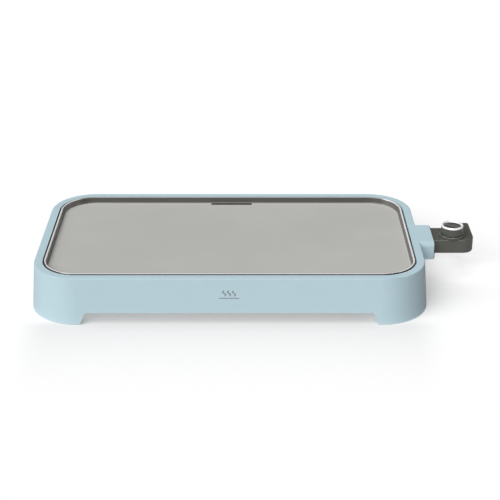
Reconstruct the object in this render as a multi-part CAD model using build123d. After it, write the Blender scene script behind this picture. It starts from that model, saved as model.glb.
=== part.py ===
"""Electric griddle: moulded cool-touch base, cast cooking plate, rear drip tray and plug-in control.

Millimetres, +Z up. Every piece is modelled about the middle of the plate, with the table at z = 0, and the
whole griddle is moved along X at the end, so that the origin is the bottom centre of its bounding box.
"""

from build123d import *
import math
import os

# ---- Driving dimensions: base housing ----
RIM_TOP = 67.5  # top of the moulded rim above the table
TOP_LENGTH = 546.0  # outline of the housing at the rim, X
TOP_WIDTH = 305.8  # outline of the housing at the rim, Y
TOP_CORNER = 62.5
FOOT_FACE = 0.8  # lowest plastic, just above the table
FLARE = 5.5  # how far the skirt leans out from the rim to the feet
WALL = 2.8
RIM_THICK = 3.0
RIM_FILLET = 1.6
OPENING_LENGTH = 523.0  # hole in the rim that the plate drops into
OPENING_WIDTH = 282.8
OPENING_CORNER = 51.0
LIP_THICK = 2.5
LIP_BOTTOM = 40.0
SKIRT_BOTTOM = 17.5  # underside of the skirt between the feet
FOOT_INNER_X = 205.5  # inner edge of a foot at the table, from the middle
FOOT_INNER_Y = 88.0
FOOT_SLANT = 7.5  # how far that edge leans in from the table to the skirt
FOOT_FLOOR = 4.6
PAD_RADIUS = 13.0
PAD_THICK = 2.8
PAD_X, PAD_Y = 234.0, 113.0
BEYOND = 320.0  # further out than any wall of the housing
RIB_HALF, RIB_BOTTOM = 1.0, 46.0  # upright ribs between the skirt and the lip
RIBS_FRONT_AND_BACK = (-190, -110, 110, 190)
RIBS_LEFT, RIBS_RIGHT = (-60, 0, 60), (-60, 60)  # the hood stands between those at the right
TAB_HALF, TAB_INNER_Y, TAB_THICK = 11.0, 130.0, 3.0  # tabs that the braces are screwed to

# ---- Driving dimensions: cooking plate ----
PLATE_LENGTH = 519.0
PLATE_WIDTH = 278.8
PLATE_CORNER = 49.0
PLATE_TOP = 68.3  # the lip stands a little proud of the rim
LIP_WIDTH = 3.0
LIP_HEIGHT = 3.0
FLOOR_TOP = 59.0
FLOOR_BOTTOM = 55.0
WALL_DRAFT = 1.0
SLOT_LENGTH, SLOT_WIDTH = 64.0, 6.0
SLOT_Y = 131.3
ELEMENT_RADIUS = 3.5
ELEMENT_Z = 50.0
ELEMENT_X, ELEMENT_Y = 202.0, 82.0  # corners of the heating loop
ELEMENT_BEND = 20.0
TERMINAL_Y = 10.0  # the two pins stand this far either side of the probe
CHANNEL_WIDTH = 13.0
CHANNEL_BOTTOM = 48.0

# ---- Driving dimensions: inside the base ----
BRACE_X = 150.0
BRACE_BOTTOM, BRACE_TOP = 38.0, 39.5
BRACE_HALF, BRACE_END = 8.0, 139.0
BOSS_Y = 110.0
BRACE_SCREW_Y = 135.5
STANDOFF_Y = 60.0
SCREW_HOLE = 1.6  # running hole for the shank of a screw
BRACKET_X = 244.0
RIVET_X, RIVET_Y = 239.0, 20.0
COLLAR_X = 240.3
COLLAR_RADIUS = 4.4
SHIELD_LENGTH, SHIELD_WIDTH, SHIELD_CORNER = 476.0, 256.0, 42.0
SHIELD_BOTTOM, SHIELD_TOP, SHEET = 21.0, 34.0, 0.8

# ---- Driving dimensions: drip tray ----
TRAY_HALF = 63.8
TRAY_FRONT, TRAY_BACK = 48.0, 141.0
TRAY_BOTTOM, TRAY_RIM = 23.8, 42.0
TRAY_WALL = 2.0
PANEL_HALF, PANEL_BOTTOM, PANEL_TOP = 68.2, SKIRT_BOTTOM, 44.3
DOOR_HALF, DOOR_TOP = 69.0, 45.0
RAIL_FRONT, RAIL_BACK = 46.0, 126.0
RAIL_BASE_TOP, RAIL_TOP = 23.4, 31.0
RAIL_SCREW_X, RAIL_SCREWS_Y = 70.0, (60.0, 110.0)

# ---- Driving dimensions: hood and plug-in control ----
HOOD_END = 294.0
HOOD_HALF = 34.5
HOOD_BOTTOM = 41.5
HOOD_WALL = 2.0
HOOD_FILLET = 6.0
CONTROL_START, CONTROL_END = 266.0, 354.5
CONTROL_BOTTOM, CONTROL_SPLIT, CONTROL_TOP = 43.2, ELEMENT_Z, 63.9
CONTROL_FRONT = -17.0
HEAD_CORNER = 16.0  # plan radius of the front corner of the head
NECK_BACK, HEAD_BACK = 28.5, 47.5
SHOULDER_HALF, SHOULDER_END = 29.6, 289.0
SHELL_WALL = 2.2
PROBE_RADIUS = 3.0
PROBE_TIP = 180.0
PIN_RADIUS = 2.5
PIN_END = 284.0
GLAND_X, GLAND_Z = 344.0, 53.6
GLAND_BORE, GLAND_RADIUS = 3.75, 6.0
GLAND_IN = 42.0
GLAND_OUT = 53.0
LENS_X, LENS_Y = 333.0, 31.0
BOSS_RADIUS = 3.3
CONTROL_BOSSES = [(273.5, -24.8), (273.5, 24.8), (347, -9), (348, 32)]

# ---- Driving dimensions: dial ----
DIAL_X = 323.5
DIAL_BASE = CONTROL_TOP + 0.4
SKIRT_RADIUS, SKIRT_TOP = 18.3, 67.4
NECK_RADIUS = 15.0  # groove between the skirt and the knob
KNOB_BASE, KNOB_TOP = 68.5, 80.7
KNOB_BASE_RADIUS, KNOB_TOP_RADIUS = 16.9, 15.5
RING_RADIUS, RING_BOTTOM, RING_TOP = 15.8, 78.9, 81.4
DISH_RADIUS, DISH_Z = 12.7, 77.2
SHAFT_RADIUS, SHAFT_TOP = 3.0, 74.5
HUB_RADIUS = 6.0
GRIP_ANGLE = -30.0
GRIP_HALF = 2.3

CORNERS = [(-1, -1), (1, -1), (-1, 1), (1, 1)]


# ---- Small builders ----
def block(x0, x1, y0, y1, z0, z1):
    """A box between two corners."""
    return Pos((x0 + x1) / 2, (y0 + y1) / 2, (z0 + z1) / 2) * Box(x1 - x0, y1 - y0, z1 - z0)


def span(side, near, far):
    """Two distances on one side of the middle, lower first."""
    return sorted((side * near, side * far))


def corner_block(sx, sy, inner_x, inner_y, z0, z1):
    """A box over one corner of the housing, from the inner distances outwards."""
    return block(*span(sx, inner_x, BEYOND), *span(sy, inner_y, BEYOND), z0, z1)


def prism(sketch, z0, z1):
    """A flat outline raised from z0 to z1."""
    return extrude(Pos(0, 0, z0) * sketch, amount=z1 - z0)


def rounded(length, width, corner, z0, z1):
    """A rounded rectangle raised from z0 to z1."""
    return prism(RectangleRounded(length, width, corner), z0, z1)


def rod_z(x, y, radius, z0, z1):
    """An upright round rod."""
    return Pos(x, y, (z0 + z1) / 2) * Cylinder(radius, z1 - z0)


def rod_x(x0, x1, y, z, radius):
    """A round rod along X."""
    return Pos((x0 + x1) / 2, y, z) * Rot(0, 90, 0) * Cylinder(radius, x1 - x0)


def rod_y(x, y0, y1, z, radius):
    """A round rod along Y."""
    return Pos(x, (y0 + y1) / 2, z) * Rot(90, 0, 0) * Cylinder(radius, y1 - y0)


def screw(x, y, seat, tip, head_radius=2.8, head_height=1.6, shank_radius=1.4):
    """A pan-head screw driven from below: its head bears on z = seat and its point is at z = tip."""
    head = rod_z(x, y, head_radius, seat - head_height, seat)
    head = chamfer(head.faces().sort_by(Axis.Z)[0].edges(), 0.5)
    slot = block(x - 1.7, x + 1.7, y - 0.35, y + 0.35, seat - head_height - 1, seat - head_height + 0.8)
    cross = block(x - 0.35, x + 0.35, y - 1.7, y + 1.7, seat - head_height - 1, seat - head_height + 0.8)
    return head + rod_z(x, y, shank_radius, seat, tip) - slot - cross


# ---- Base housing ----
def skirt_body(inset, z0, z1):
    """The flared outline of the housing, moved in by inset, between two heights."""
    lean = FLARE / (RIM_TOP - FOOT_FACE)
    grow = lean * (RIM_TOP - z0) - inset
    outline = RectangleRounded(TOP_LENGTH + 2 * grow, TOP_WIDTH + 2 * grow, TOP_CORNER + grow)
    return extrude(Pos(0, 0, z0) * outline, amount=z1 - z0, taper=math.degrees(math.atan(lean)))


def arch(half_table, reach, turn):
    """The gap under the skirt between two feet, which narrows upwards and has rounded upper corners."""
    top = half_table - FOOT_SLANT
    below = half_table + FOOT_SLANT / SKIRT_BOTTOM
    outline = Polygon((-below, -1), (below, -1), (top, SKIRT_BOTTOM), (-top, SKIRT_BOTTOM), align=None)
    outline = fillet(outline.vertices().group_by(Axis.Y)[-1], 3.0)
    gap = extrude(Plane.XZ * outline, amount=reach, both=True)
    return Rot(0, 0, turn) * gap


def base_housing():
    """One moulding: rim, flared skirt with four hollow feet, lip round the plate, hood and tray doorway."""
    outer = skirt_body(0, FOOT_FACE, RIM_TOP)
    outer = fillet(outer.faces().sort_by(Axis.Z)[-1].edges(), RIM_FILLET)
    hollow = skirt_body(WALL, SKIRT_BOTTOM, RIM_TOP - RIM_THICK)
    feet_hollow = skirt_body(WALL, FOOT_FLOOR, SKIRT_BOTTOM + 0.1)
    for sx, sy in CORNERS:
        hollow += feet_hollow & corner_block(sx, sy, FOOT_INNER_X + WALL, FOOT_INNER_Y + WALL, 0, 30)
    shell = outer - hollow - arch(FOOT_INNER_X, 200, 0) - arch(FOOT_INNER_Y, 320, 90)

    hood = block(262, HOOD_END, -HOOD_HALF, HOOD_HALF, HOOD_BOTTOM, RIM_TOP)
    long_edges = hood.edges().filter_by(Axis.X).group_by(Axis.Z)[-1]
    hood = fillet(long_edges, HOOD_FILLET)
    hood = fillet(hood.faces().sort_by(Axis.X)[-1].edges().group_by(Axis.Z)[1:], 0.8)
    lip = rounded(
        OPENING_LENGTH + 2 * LIP_THICK,
        OPENING_WIDTH + 2 * LIP_THICK,
        OPENING_CORNER + LIP_THICK,
        LIP_BOTTOM,
        RIM_TOP - 1,
    )
    shell = shell + hood + lip
    shell -= rounded(OPENING_LENGTH, OPENING_WIDTH, OPENING_CORNER, 0, RIM_TOP + 1) - feet_keepout()
    shell -= hood_tunnel()
    shell -= block(-DOOR_HALF, DOOR_HALF, 118, 165, SKIRT_BOTTOM - 2, DOOR_TOP)

    for side in (-1, 1):
        y0, y1 = span(side, OPENING_WIDTH / 2 + 1, TOP_WIDTH / 2 - 1.5)
        for x in RIBS_FRONT_AND_BACK:
            shell += block(x - RIB_HALF, x + RIB_HALF, y0, y1, RIB_BOTTOM, RIM_TOP - 1)
    for side, places in ((-1, RIBS_LEFT), (1, RIBS_RIGHT)):
        x0, x1 = span(side, OPENING_LENGTH / 2 + 1, TOP_LENGTH / 2 - 1.5)
        for y in places:
            shell += block(x0, x1, y - RIB_HALF, y + RIB_HALF, RIB_BOTTOM, RIM_TOP - 1)
    for sx, sy in CORNERS:
        x = sx * BRACE_X
        y0, y1 = span(sy, TAB_INNER_Y, OPENING_WIDTH / 2 + 1)
        shell += block(x - TAB_HALF, x + TAB_HALF, y0, y1, BRACE_TOP, BRACE_TOP + TAB_THICK)
        shell -= rod_z(x, sy * BRACE_SCREW_Y, SCREW_HOLE, BRACE_TOP - 1, BRACE_TOP + TAB_THICK + 1)
        shell -= rod_z(sx * PAD_X, sy * PAD_Y, PAD_RADIUS, 0, PAD_THICK)
    return shell


def feet_keepout():
    """The space of the four feet, which the hole for the plate leaves whole."""
    inner_x, inner_y = FOOT_INNER_X - 2 * FOOT_SLANT, FOOT_INNER_Y - 2 * FOOT_SLANT
    return Part() + [corner_block(sx, sy, inner_x, inner_y, -1, SKIRT_BOTTOM) for sx, sy in CORNERS]


def hood_tunnel():
    """The space inside the hood, open below and at its end, where the control plugs in."""
    half = HOOD_HALF - HOOD_WALL
    space = block(258, HOOD_END + 5, -half, half, HOOD_BOTTOM - 1, RIM_TOP - HOOD_WALL)
    long_edges = space.edges().filter_by(Axis.X).group_by(Axis.Z)[-1]
    space = fillet(long_edges, HOOD_FILLET - HOOD_WALL)
    return space & block(258, HOOD_END + 5, -half, half, HOOD_BOTTOM, RIM_TOP)


def hood_liner():
    """A dark moulded guide that lines the hood and shows as a thin edge at its mouth."""
    gap, thick = 0.1, 1.3
    half = HOOD_HALF - HOOD_WALL - gap
    top = RIM_TOP - HOOD_WALL - gap
    outer = block(270, HOOD_END + 1.2, -half, half, HOOD_BOTTOM + 0.6, top)
    outer = fillet(outer.edges().filter_by(Axis.X).group_by(Axis.Z)[-1], HOOD_FILLET - HOOD_WALL - gap)
    inner = block(260, HOOD_END + 5, -half + thick, half - thick, 30, top - 0.8)
    inner = fillet(inner.edges().filter_by(Axis.X).group_by(Axis.Z)[-1], 2.0)
    return outer - inner


def foot_pads():
    """Four rubber discs pressed into the feet."""
    pads = []
    for sx, sy in CORNERS:
        pad = rod_z(sx * PAD_X, sy * PAD_Y, PAD_RADIUS - 0.05, 0, PAD_THICK)
        pads.append(fillet(pad.faces().sort_by(Axis.Z)[0].edges(), 0.4))
    return Compound(children=pads)


# ---- Cooking plate and what is fixed under it ----
def element_line(stub):
    """Centreline of the heating loop, from one terminal right round to the other."""
    points = [
        (stub, -TERMINAL_Y),
        (ELEMENT_X, -TERMINAL_Y),
        (ELEMENT_X, -ELEMENT_Y),
        (-ELEMENT_X, -ELEMENT_Y),
        (-ELEMENT_X, ELEMENT_Y),
        (ELEMENT_X, ELEMENT_Y),
        (ELEMENT_X, TERMINAL_Y),
        (stub, TERMINAL_Y),
    ]
    return Pos(0, 0, ELEMENT_Z) * FilletPolyline(*points, radius=ELEMENT_BEND)


def along_element(section, stub):
    """A section in the YZ plane carried round the heating loop."""
    line = element_line(stub)
    start = Plane(origin=line @ 0, x_dir=(0, 1, 0), z_dir=line % 0)
    return sweep(start * section, path=line)


def griddle_plate():
    """One casting: cooking floor, walls with a rounded lip, drain slot, element channel and probe well."""
    outside = rounded(PLATE_LENGTH - 2, PLATE_WIDTH - 2, PLATE_CORNER - 1, FLOOR_BOTTOM, PLATE_TOP - 1)
    outside = fillet(outside.faces().sort_by(Axis.Z)[0].edges(), 1.5)
    outside += rounded(PLATE_LENGTH, PLATE_WIDTH, PLATE_CORNER, PLATE_TOP - LIP_HEIGHT, PLATE_TOP)
    depth = PLATE_TOP - FLOOR_TOP
    shrink = 2 * (LIP_WIDTH + WALL_DRAFT)
    floor_outline = RectangleRounded(
        PLATE_LENGTH - shrink, PLATE_WIDTH - shrink, PLATE_CORNER - shrink / 2
    )
    lean = -math.degrees(math.atan(WALL_DRAFT / depth))
    basin = extrude(Pos(0, 0, FLOOR_TOP) * floor_outline, amount=depth + 0.5, taper=lean)
    basin = fillet(basin.faces().sort_by(Axis.Z)[0].edges(), 2.5)
    plate = outside - basin
    lip_edges = plate.faces().filter_by(Axis.Z).sort_by(Axis.Z)[-1].edges()
    plate = fillet(lip_edges, 1.2)

    channel = Pos(0, (CHANNEL_BOTTOM + FLOOR_BOTTOM) / 2 - ELEMENT_Z) * Rectangle(
        CHANNEL_WIDTH, FLOOR_BOTTOM - CHANNEL_BOTTOM
    )
    plate += along_element(channel, 228)
    plate += block(176, 232, -7.5, 7.5, 44.5, FLOOR_BOTTOM)
    plate += prism(Pos(0, SLOT_Y - 0.5) * SlotOverall(SLOT_LENGTH + 6, SLOT_WIDTH + 5), 47, FLOOR_BOTTOM)
    for x in (-100, 0, 100):
        plate += block(x - 1.5, x + 1.5, -ELEMENT_Y, ELEMENT_Y, 51, FLOOR_BOTTOM)
    for sx, sy in CORNERS:
        plate += rod_z(sx * BRACE_X, sy * BOSS_Y, 5, 42, FLOOR_BOTTOM)
        plate -= rod_z(sx * BRACE_X, sy * BOSS_Y, 1.45, 41, 51)

    groove = Circle(ELEMENT_RADIUS + 0.05) + Pos(0, -2) * Rectangle(2 * ELEMENT_RADIUS + 0.1, 4)
    plate -= along_element(groove, 236)
    plate -= rod_x(178, 240, 0, ELEMENT_Z, PROBE_RADIUS + 0.35)
    plate -= prism(Pos(0, SLOT_Y) * SlotOverall(SLOT_LENGTH, SLOT_WIDTH), 40, 62)
    return plate


def heating_element():
    """Sheathed tubular heater pressed up into the channel of the plate."""
    return along_element(Circle(ELEMENT_RADIUS), 240)


def terminal_pins():
    """The two plug pins of the heater."""
    pins = []
    for side in (-1, 1):
        pin = rod_x(240, PIN_END, side * TERMINAL_Y, ELEMENT_Z, PIN_RADIUS)
        pins.append(chamfer(pin.faces().sort_by(Axis.X)[-1].edges(), 1.0))
    return Compound(children=pins)


def pin_insulators():
    """Ceramic collars that carry the pins through the bracket."""
    collars = []
    for side in (-1, 1):
        y = side * TERMINAL_Y
        collar = rod_x(COLLAR_X, BRACKET_X + 5, y, ELEMENT_Z, COLLAR_RADIUS)
        collar += rod_x(COLLAR_X, BRACKET_X - 0.2, y, ELEMENT_Z, COLLAR_RADIUS + 0.5)
        collars.append(collar - rod_x(COLLAR_X - 1, BRACKET_X + 6, y, ELEMENT_Z, PIN_RADIUS + 0.05))
    return Compound(children=collars)


def terminal_bracket():
    """Steel upright with two riveted lugs under the plate, which holds the pins and guides the probe."""
    back = BRACKET_X + 1.5
    bracket = block(BRACKET_X, back, -RIVET_Y - 3, RIVET_Y + 3, 43.5, FLOOR_BOTTOM)
    for side in (-1, 1):
        y0, y1 = span(side, RIVET_Y - 4, RIVET_Y + 3)
        bracket += block(RIVET_X - 5, back, y0, y1, FLOOR_BOTTOM - 1.2, FLOOR_BOTTOM)
        bracket -= rod_x(BRACKET_X - 1, back + 1, side * TERMINAL_Y, ELEMENT_Z, COLLAR_RADIUS + 0.1)
        bracket -= rod_z(RIVET_X, side * RIVET_Y, 1.5, 50, 60)
    return bracket - rod_x(BRACKET_X - 1, back + 1, 0, ELEMENT_Z, PROBE_RADIUS + 0.6)


def bracket_rivets():
    """Two rivets that hold the bracket to the plate."""
    rivets = []
    for side in (-1, 1):
        head = rod_z(RIVET_X, side * RIVET_Y, 2.6, FLOOR_BOTTOM - 2.4, FLOOR_BOTTOM - 1.2)
        rivets.append(head + rod_z(RIVET_X, side * RIVET_Y, 1.45, FLOOR_BOTTOM - 1.2, FLOOR_BOTTOM))
    return Compound(children=rivets)


# ---- Structure inside the base ----
def brace(side):
    """Steel strip from the front of the housing to the back, which carries the plate and the heat shield."""
    x = side * BRACE_X
    strip = block(x - BRACE_HALF, x + BRACE_HALF, -BRACE_END, BRACE_END, BRACE_BOTTOM, BRACE_TOP)
    for y in (-BRACE_SCREW_Y, -BOSS_Y, BOSS_Y, BRACE_SCREW_Y):
        strip -= rod_z(x, y, SCREW_HOLE, BRACE_BOTTOM - 1, BRACE_TOP + 1)
    return strip


def brace_screws():
    """Four screws from the braces up into the tabs of the housing."""
    return Compound(
        children=[screw(sx * BRACE_X, sy * BRACE_SCREW_Y, BRACE_BOTTOM, 42.2) for sx, sy in CORNERS]
    )


def plate_spacers():
    """Four ceramic washers that keep the hot plate off the braces."""
    rings = []
    for sx, sy in CORNERS:
        ring = rod_z(sx * BRACE_X, sy * BOSS_Y, 6, BRACE_TOP, 42)
        rings.append(ring - rod_z(sx * BRACE_X, sy * BOSS_Y, SCREW_HOLE, BRACE_TOP - 1, 43))
    return Compound(children=rings)


def plate_screws():
    """Four screws from the braces up into the bosses of the plate."""
    return Compound(children=[screw(sx * BRACE_X, sy * BOSS_Y, BRACE_BOTTOM, 50) for sx, sy in CORNERS])


def shield_standoffs():
    """Four spacer tubes between the braces and the heat shield."""
    tubes = []
    for sx, sy in CORNERS:
        tube = rod_z(sx * BRACE_X, sy * STANDOFF_Y, 4, SHIELD_BOTTOM + SHEET, BRACE_BOTTOM)
        tubes.append(tube - rod_z(sx * BRACE_X, sy * STANDOFF_Y, 1.5, SHIELD_BOTTOM, 32))
    return Compound(children=tubes)


def shield_screws():
    """Four screws that hold the heat shield up to its spacers."""
    return Compound(
        children=[screw(sx * BRACE_X, sy * STANDOFF_Y, SHIELD_BOTTOM, 30) for sx, sy in CORNERS]
    )


def heat_shield():
    """Shallow sheet-aluminium pan under the heater, open at the back for the tray."""
    pan = rounded(SHIELD_LENGTH, SHIELD_WIDTH, SHIELD_CORNER, SHIELD_BOTTOM, SHIELD_TOP)
    pan -= rounded(
        SHIELD_LENGTH - 2 * SHEET,
        SHIELD_WIDTH - 2 * SHEET,
        SHIELD_CORNER - SHEET,
        SHIELD_BOTTOM + SHEET,
        SHIELD_TOP + 1,
    )
    pan -= block(-DOOR_HALF, DOOR_HALF, 120, 135, SHIELD_BOTTOM + SHEET, SHIELD_TOP + 1)
    for sx, sy in CORNERS:
        pan -= rod_z(sx * BRACE_X, sy * STANDOFF_Y, SCREW_HOLE, SHIELD_BOTTOM - 1, SHIELD_BOTTOM + 2)
    for side in (-1, 1):
        for y in RAIL_SCREWS_Y:
            pan -= rod_z(side * RAIL_SCREW_X, y, 1.5, SHIELD_BOTTOM - 1, SHIELD_BOTTOM + 2)
    return pan


def tray_rail(side):
    """Angle-section rail that carries one edge of the tray."""
    rail = block(*span(side, 57, 73), RAIL_FRONT, RAIL_BACK, SHIELD_BOTTOM + SHEET, RAIL_BASE_TOP)
    rail += block(*span(side, TRAY_HALF + 1, TRAY_HALF + 3), RAIL_FRONT, RAIL_BACK, RAIL_BASE_TOP, RAIL_TOP)
    for y in RAIL_SCREWS_Y:
        rail -= rod_z(side * RAIL_SCREW_X, y, 1.45, SHIELD_BOTTOM, RAIL_BASE_TOP + 1)
    return rail


def rail_screws():
    """Four short screws that hold the rails down to the shield."""
    screws = []
    for side in (-1, 1):
        for y in RAIL_SCREWS_Y:
            screws.append(screw(side * RAIL_SCREW_X, y, SHIELD_BOTTOM, RAIL_BASE_TOP - 0.2, head_height=1.4))
    return Compound(children=screws)


# ---- Drip tray ----
def drip_tray():
    """Drawer with a grease bowl, a panel flush with the back of the housing and a finger pocket behind it."""
    bowl = block(-TRAY_HALF, TRAY_HALF, TRAY_FRONT, TRAY_BACK, TRAY_BOTTOM, TRAY_RIM)
    bowl = fillet(bowl.edges().filter_by(Axis.Z), 6)
    inside = block(
        -TRAY_HALF + TRAY_WALL,
        TRAY_HALF - TRAY_WALL,
        TRAY_FRONT + TRAY_WALL,
        TRAY_BACK - TRAY_WALL,
        TRAY_BOTTOM + TRAY_WALL,
        TRAY_RIM + 5,
    )
    inside = fillet(inside.edges().filter_by(Axis.Z), 4)
    inside = fillet(inside.faces().sort_by(Axis.Z)[0].edges(), 2)
    panel_space = block(-PANEL_HALF, PANEL_HALF, 130, 165, PANEL_BOTTOM, PANEL_TOP)
    panel = (skirt_body(0, 10, 60) - skirt_body(3.0, 9, 61)) & panel_space
    bridge = block(-TRAY_HALF, TRAY_HALF, TRAY_BACK - 7, 153.5, PANEL_BOTTOM + 1.4, TRAY_RIM)
    hooked = block(-TRAY_HALF + 2, TRAY_HALF - 2, TRAY_BACK - 8, 160, 10, TRAY_RIM - 2)
    return (bowl + (bridge - hooked) + panel) - inside


# ---- Plug-in control ----
def control_outline():
    """Plan of the control: a shoulder inside the hood, a neck, and a head that widens to the back."""
    outline = Polygon(
        (CONTROL_START, -SHOULDER_HALF),
        (SHOULDER_END, -SHOULDER_HALF),
        (SHOULDER_END, CONTROL_FRONT),
        (CONTROL_END, CONTROL_FRONT),
        (CONTROL_END, HEAD_BACK),
        (336, HEAD_BACK),
        (314, NECK_BACK),
        (SHOULDER_END, NECK_BACK),
        (SHOULDER_END, SHOULDER_HALF),
        (CONTROL_START, SHOULDER_HALF),
        align=None,
    )

    def near(x, y):
        return outline.vertices().sort_by_distance((x, y, 0))[0]

    front_corner = near(CONTROL_END, CONTROL_FRONT)
    back_corner = near(CONTROL_END, HEAD_BACK)
    waist = [near(336, HEAD_BACK), near(314, NECK_BACK)]
    ends = [near(CONTROL_START, -SHOULDER_HALF), near(CONTROL_START, SHOULDER_HALF)]
    outline = fillet(front_corner, HEAD_CORNER)
    outline = fillet(outline.vertices().sort_by_distance(back_corner)[0], 4)
    outline = fillet([outline.vertices().sort_by_distance(v)[0] for v in waist], 8)
    return fillet([outline.vertices().sort_by_distance(v)[0] for v in ends], 2)


def control_shell(z0, z1, closed_below):
    """One half of the control's casing, hollow, with screw bosses and holes for probe, pins and gland."""
    outline = control_outline()
    shell = prism(outline, z0, z1)
    outer_face = shell.faces().sort_by(Axis.Z)[0 if closed_below else -1]
    shell = fillet(outer_face.edges(), 1.4)
    low = z0 + SHELL_WALL if closed_below else z0 - 1
    high = z1 + 1 if closed_below else z1 - SHELL_WALL
    shell -= prism(offset(outline, -SHELL_WALL), low, high)
    boss_low, boss_high = (z0 + 1, z1) if closed_below else (z0, z1 - 1)
    for x, y in CONTROL_BOSSES:
        shell += rod_z(x, y, BOSS_RADIUS, boss_low, boss_high)
    shell -= rod_x(CONTROL_START - 1, CONTROL_START + 3, 0, ELEMENT_Z, PROBE_RADIUS + 0.05)
    for side in (-1, 1):
        shell -= rod_x(CONTROL_START - 1, CONTROL_START + 3, side * TERMINAL_Y, ELEMENT_Z, PIN_RADIUS + 0.7)
    return shell - rod_y(GLAND_X, HEAD_BACK - 6, HEAD_BACK + 2, GLAND_Z, GLAND_RADIUS + 0.05)


def control_lower_shell():
    """Lower half of the casing, with sunk screw holes."""
    shell = control_shell(CONTROL_BOTTOM, CONTROL_SPLIT, True)
    for x, y in CONTROL_BOSSES:
        shell -= rod_z(x, y, 1.45, CONTROL_BOTTOM - 1, CONTROL_SPLIT + 1)
        shell -= rod_z(x, y, 2.7, CONTROL_BOTTOM - 1, CONTROL_BOTTOM + 2)
    return shell


def control_upper_shell():
    """Upper half of the casing, with holes for the dial shaft and the lamp lens."""
    shell = control_shell(CONTROL_SPLIT, CONTROL_TOP, False)
    for x, y in CONTROL_BOSSES:
        shell -= rod_z(x, y, 1.25, CONTROL_SPLIT - 1, 57.5)
    shell -= rod_z(DIAL_X, 0, 4.5, 55, 70)
    return shell - rod_z(LENS_X, LENS_Y, 2.55, 55, 70)


def control_screws():
    """Four screws that close the casing from below."""
    return Compound(
        children=[
            screw(x, y, CONTROL_BOTTOM + 2, 57, head_radius=2.5, head_height=1.5, shank_radius=1.2)
            for x, y in CONTROL_BOSSES
        ]
    )


def probe():
    """Stainless sensing tube with a domed tip."""
    rod = rod_x(PROBE_TIP, 289.5, 0, ELEMENT_Z, PROBE_RADIUS)
    return fillet(rod.faces().sort_by(Axis.X)[0].edges(), 2.4)


def terminal_block():
    """Moulded block that holds the probe and the two contact sleeves."""
    body = block(268.6, 286.4, -18.5, 18.5, CONTROL_BOTTOM + SHELL_WALL + 0.1, 57)
    body = fillet(body.edges().filter_by(Axis.X), 1.5)
    for side in (-1, 1):
        body -= rod_x(267, 290, side * TERMINAL_Y, ELEMENT_Z, 3.8)
    return body - rod_x(267, 290, 0, ELEMENT_Z, PROBE_RADIUS + 0.05)


def contact_sleeves():
    """Two sprung brass sleeves that take the pins, each with a solder tail."""
    sleeves = []
    for side in (-1, 1):
        y = side * TERMINAL_Y
        sleeve = rod_x(268.6, 290, y, ELEMENT_Z, 3.75) - rod_x(268, 286, y, ELEMENT_Z, PIN_RADIUS + 0.3)
        tail = block(290, 296, y - 2, y + 2, ELEMENT_Z - 0.4, ELEMENT_Z + 0.4)
        sleeves.append(sleeve + tail)
    return Compound(children=sleeves)


def thermostat_frame():
    """Bent steel frame that carries the contact leaves and is the bearing of the dial shaft."""
    low = CONTROL_BOTTOM + SHELL_WALL + 0.1
    base = block(292.5, 337, -8, 8, low, low + 1.2)
    end = block(335.8, 337, -8, 8, low, 57.4)
    top = block(312, 337, -8, 8, 56.2, 57.4)
    frame = base + end + top
    frame = fillet(frame.edges().filter_by(Axis.Y).group_by(Axis.X)[-1], 0.8)
    return frame - rod_z(DIAL_X, 0, SHAFT_RADIUS + 0.08, 50, 60)


def leaf_insulators():
    """Stack of ceramic pieces between the frame and the contact leaves."""
    levels = [(47.6, 49.0), (49.5, 50.9), (51.4, 53.0)]
    return Compound(children=[block(293.5, 300, -4.5, 4.5, z0, z1) for z0, z1 in levels])


def contact_leaf(z, length, contact_z0, contact_z1):
    """Spring strip with a round silver contact near its free end."""
    strip = block(293, 293 + length, -3, 3, z, z + 0.4)
    return strip + rod_z(319, 0, 1.6, contact_z0, contact_z1)


def fixed_contact_leaf():
    """Lower strip of the switch."""
    return contact_leaf(49.05, 29, 49.2, 50.1)


def moving_contact_leaf():
    """Upper strip of the switch, which the dial shaft presses."""
    return contact_leaf(50.95, 34, 50.35, 51.1)


def indicator_lens():
    """Small domed window over the lamp."""
    seat = CONTROL_TOP - SHELL_WALL
    lens = rod_z(LENS_X, LENS_Y, 2.5, seat - 0.5, CONTROL_TOP + 0.7)
    lens = fillet(lens.faces().sort_by(Axis.Z)[-1].edges(), 0.6)
    return lens + rod_z(LENS_X, LENS_Y, 3.4, seat - 1, seat)


def indicator_lamp():
    """Neon lamp that shows when the heater is on."""
    lamp = rod_z(LENS_X, LENS_Y, 2.1, 49, CONTROL_TOP - SHELL_WALL - 1.5)
    return fillet(lamp.faces().sort_by(Axis.Z)[-1].edges(), 1.6)


def cord_gland():
    """Bushing in the back of the head, where a mains lead would enter."""
    sleeve = rod_y(GLAND_X, GLAND_IN, GLAND_OUT, GLAND_Z, GLAND_RADIUS)
    sleeve += rod_y(GLAND_X, GLAND_IN, HEAD_BACK - SHELL_WALL - 0.7, GLAND_Z, GLAND_RADIUS + 1)
    sleeve = fillet(sleeve.faces().sort_by(Axis.Y)[-1].edges().group_by(SortBy.LENGTH)[-1], 0.8)
    return sleeve - rod_y(GLAND_X, GLAND_IN - 1, GLAND_OUT + 1, GLAND_Z, GLAND_BORE)


# ---- Dial ----
def dial_skirt():
    """Flat disc under the knob, with a sloping edge that carries the temperature marks."""
    disc = rod_z(DIAL_X, 0, SKIRT_RADIUS, DIAL_BASE, SKIRT_TOP)
    disc = chamfer(disc.faces().sort_by(Axis.Z)[-1].edges(), 1.1, 2.0)
    return disc - rod_z(DIAL_X, 0, HUB_RADIUS, DIAL_BASE - 1, SKIRT_TOP + 1)


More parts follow.
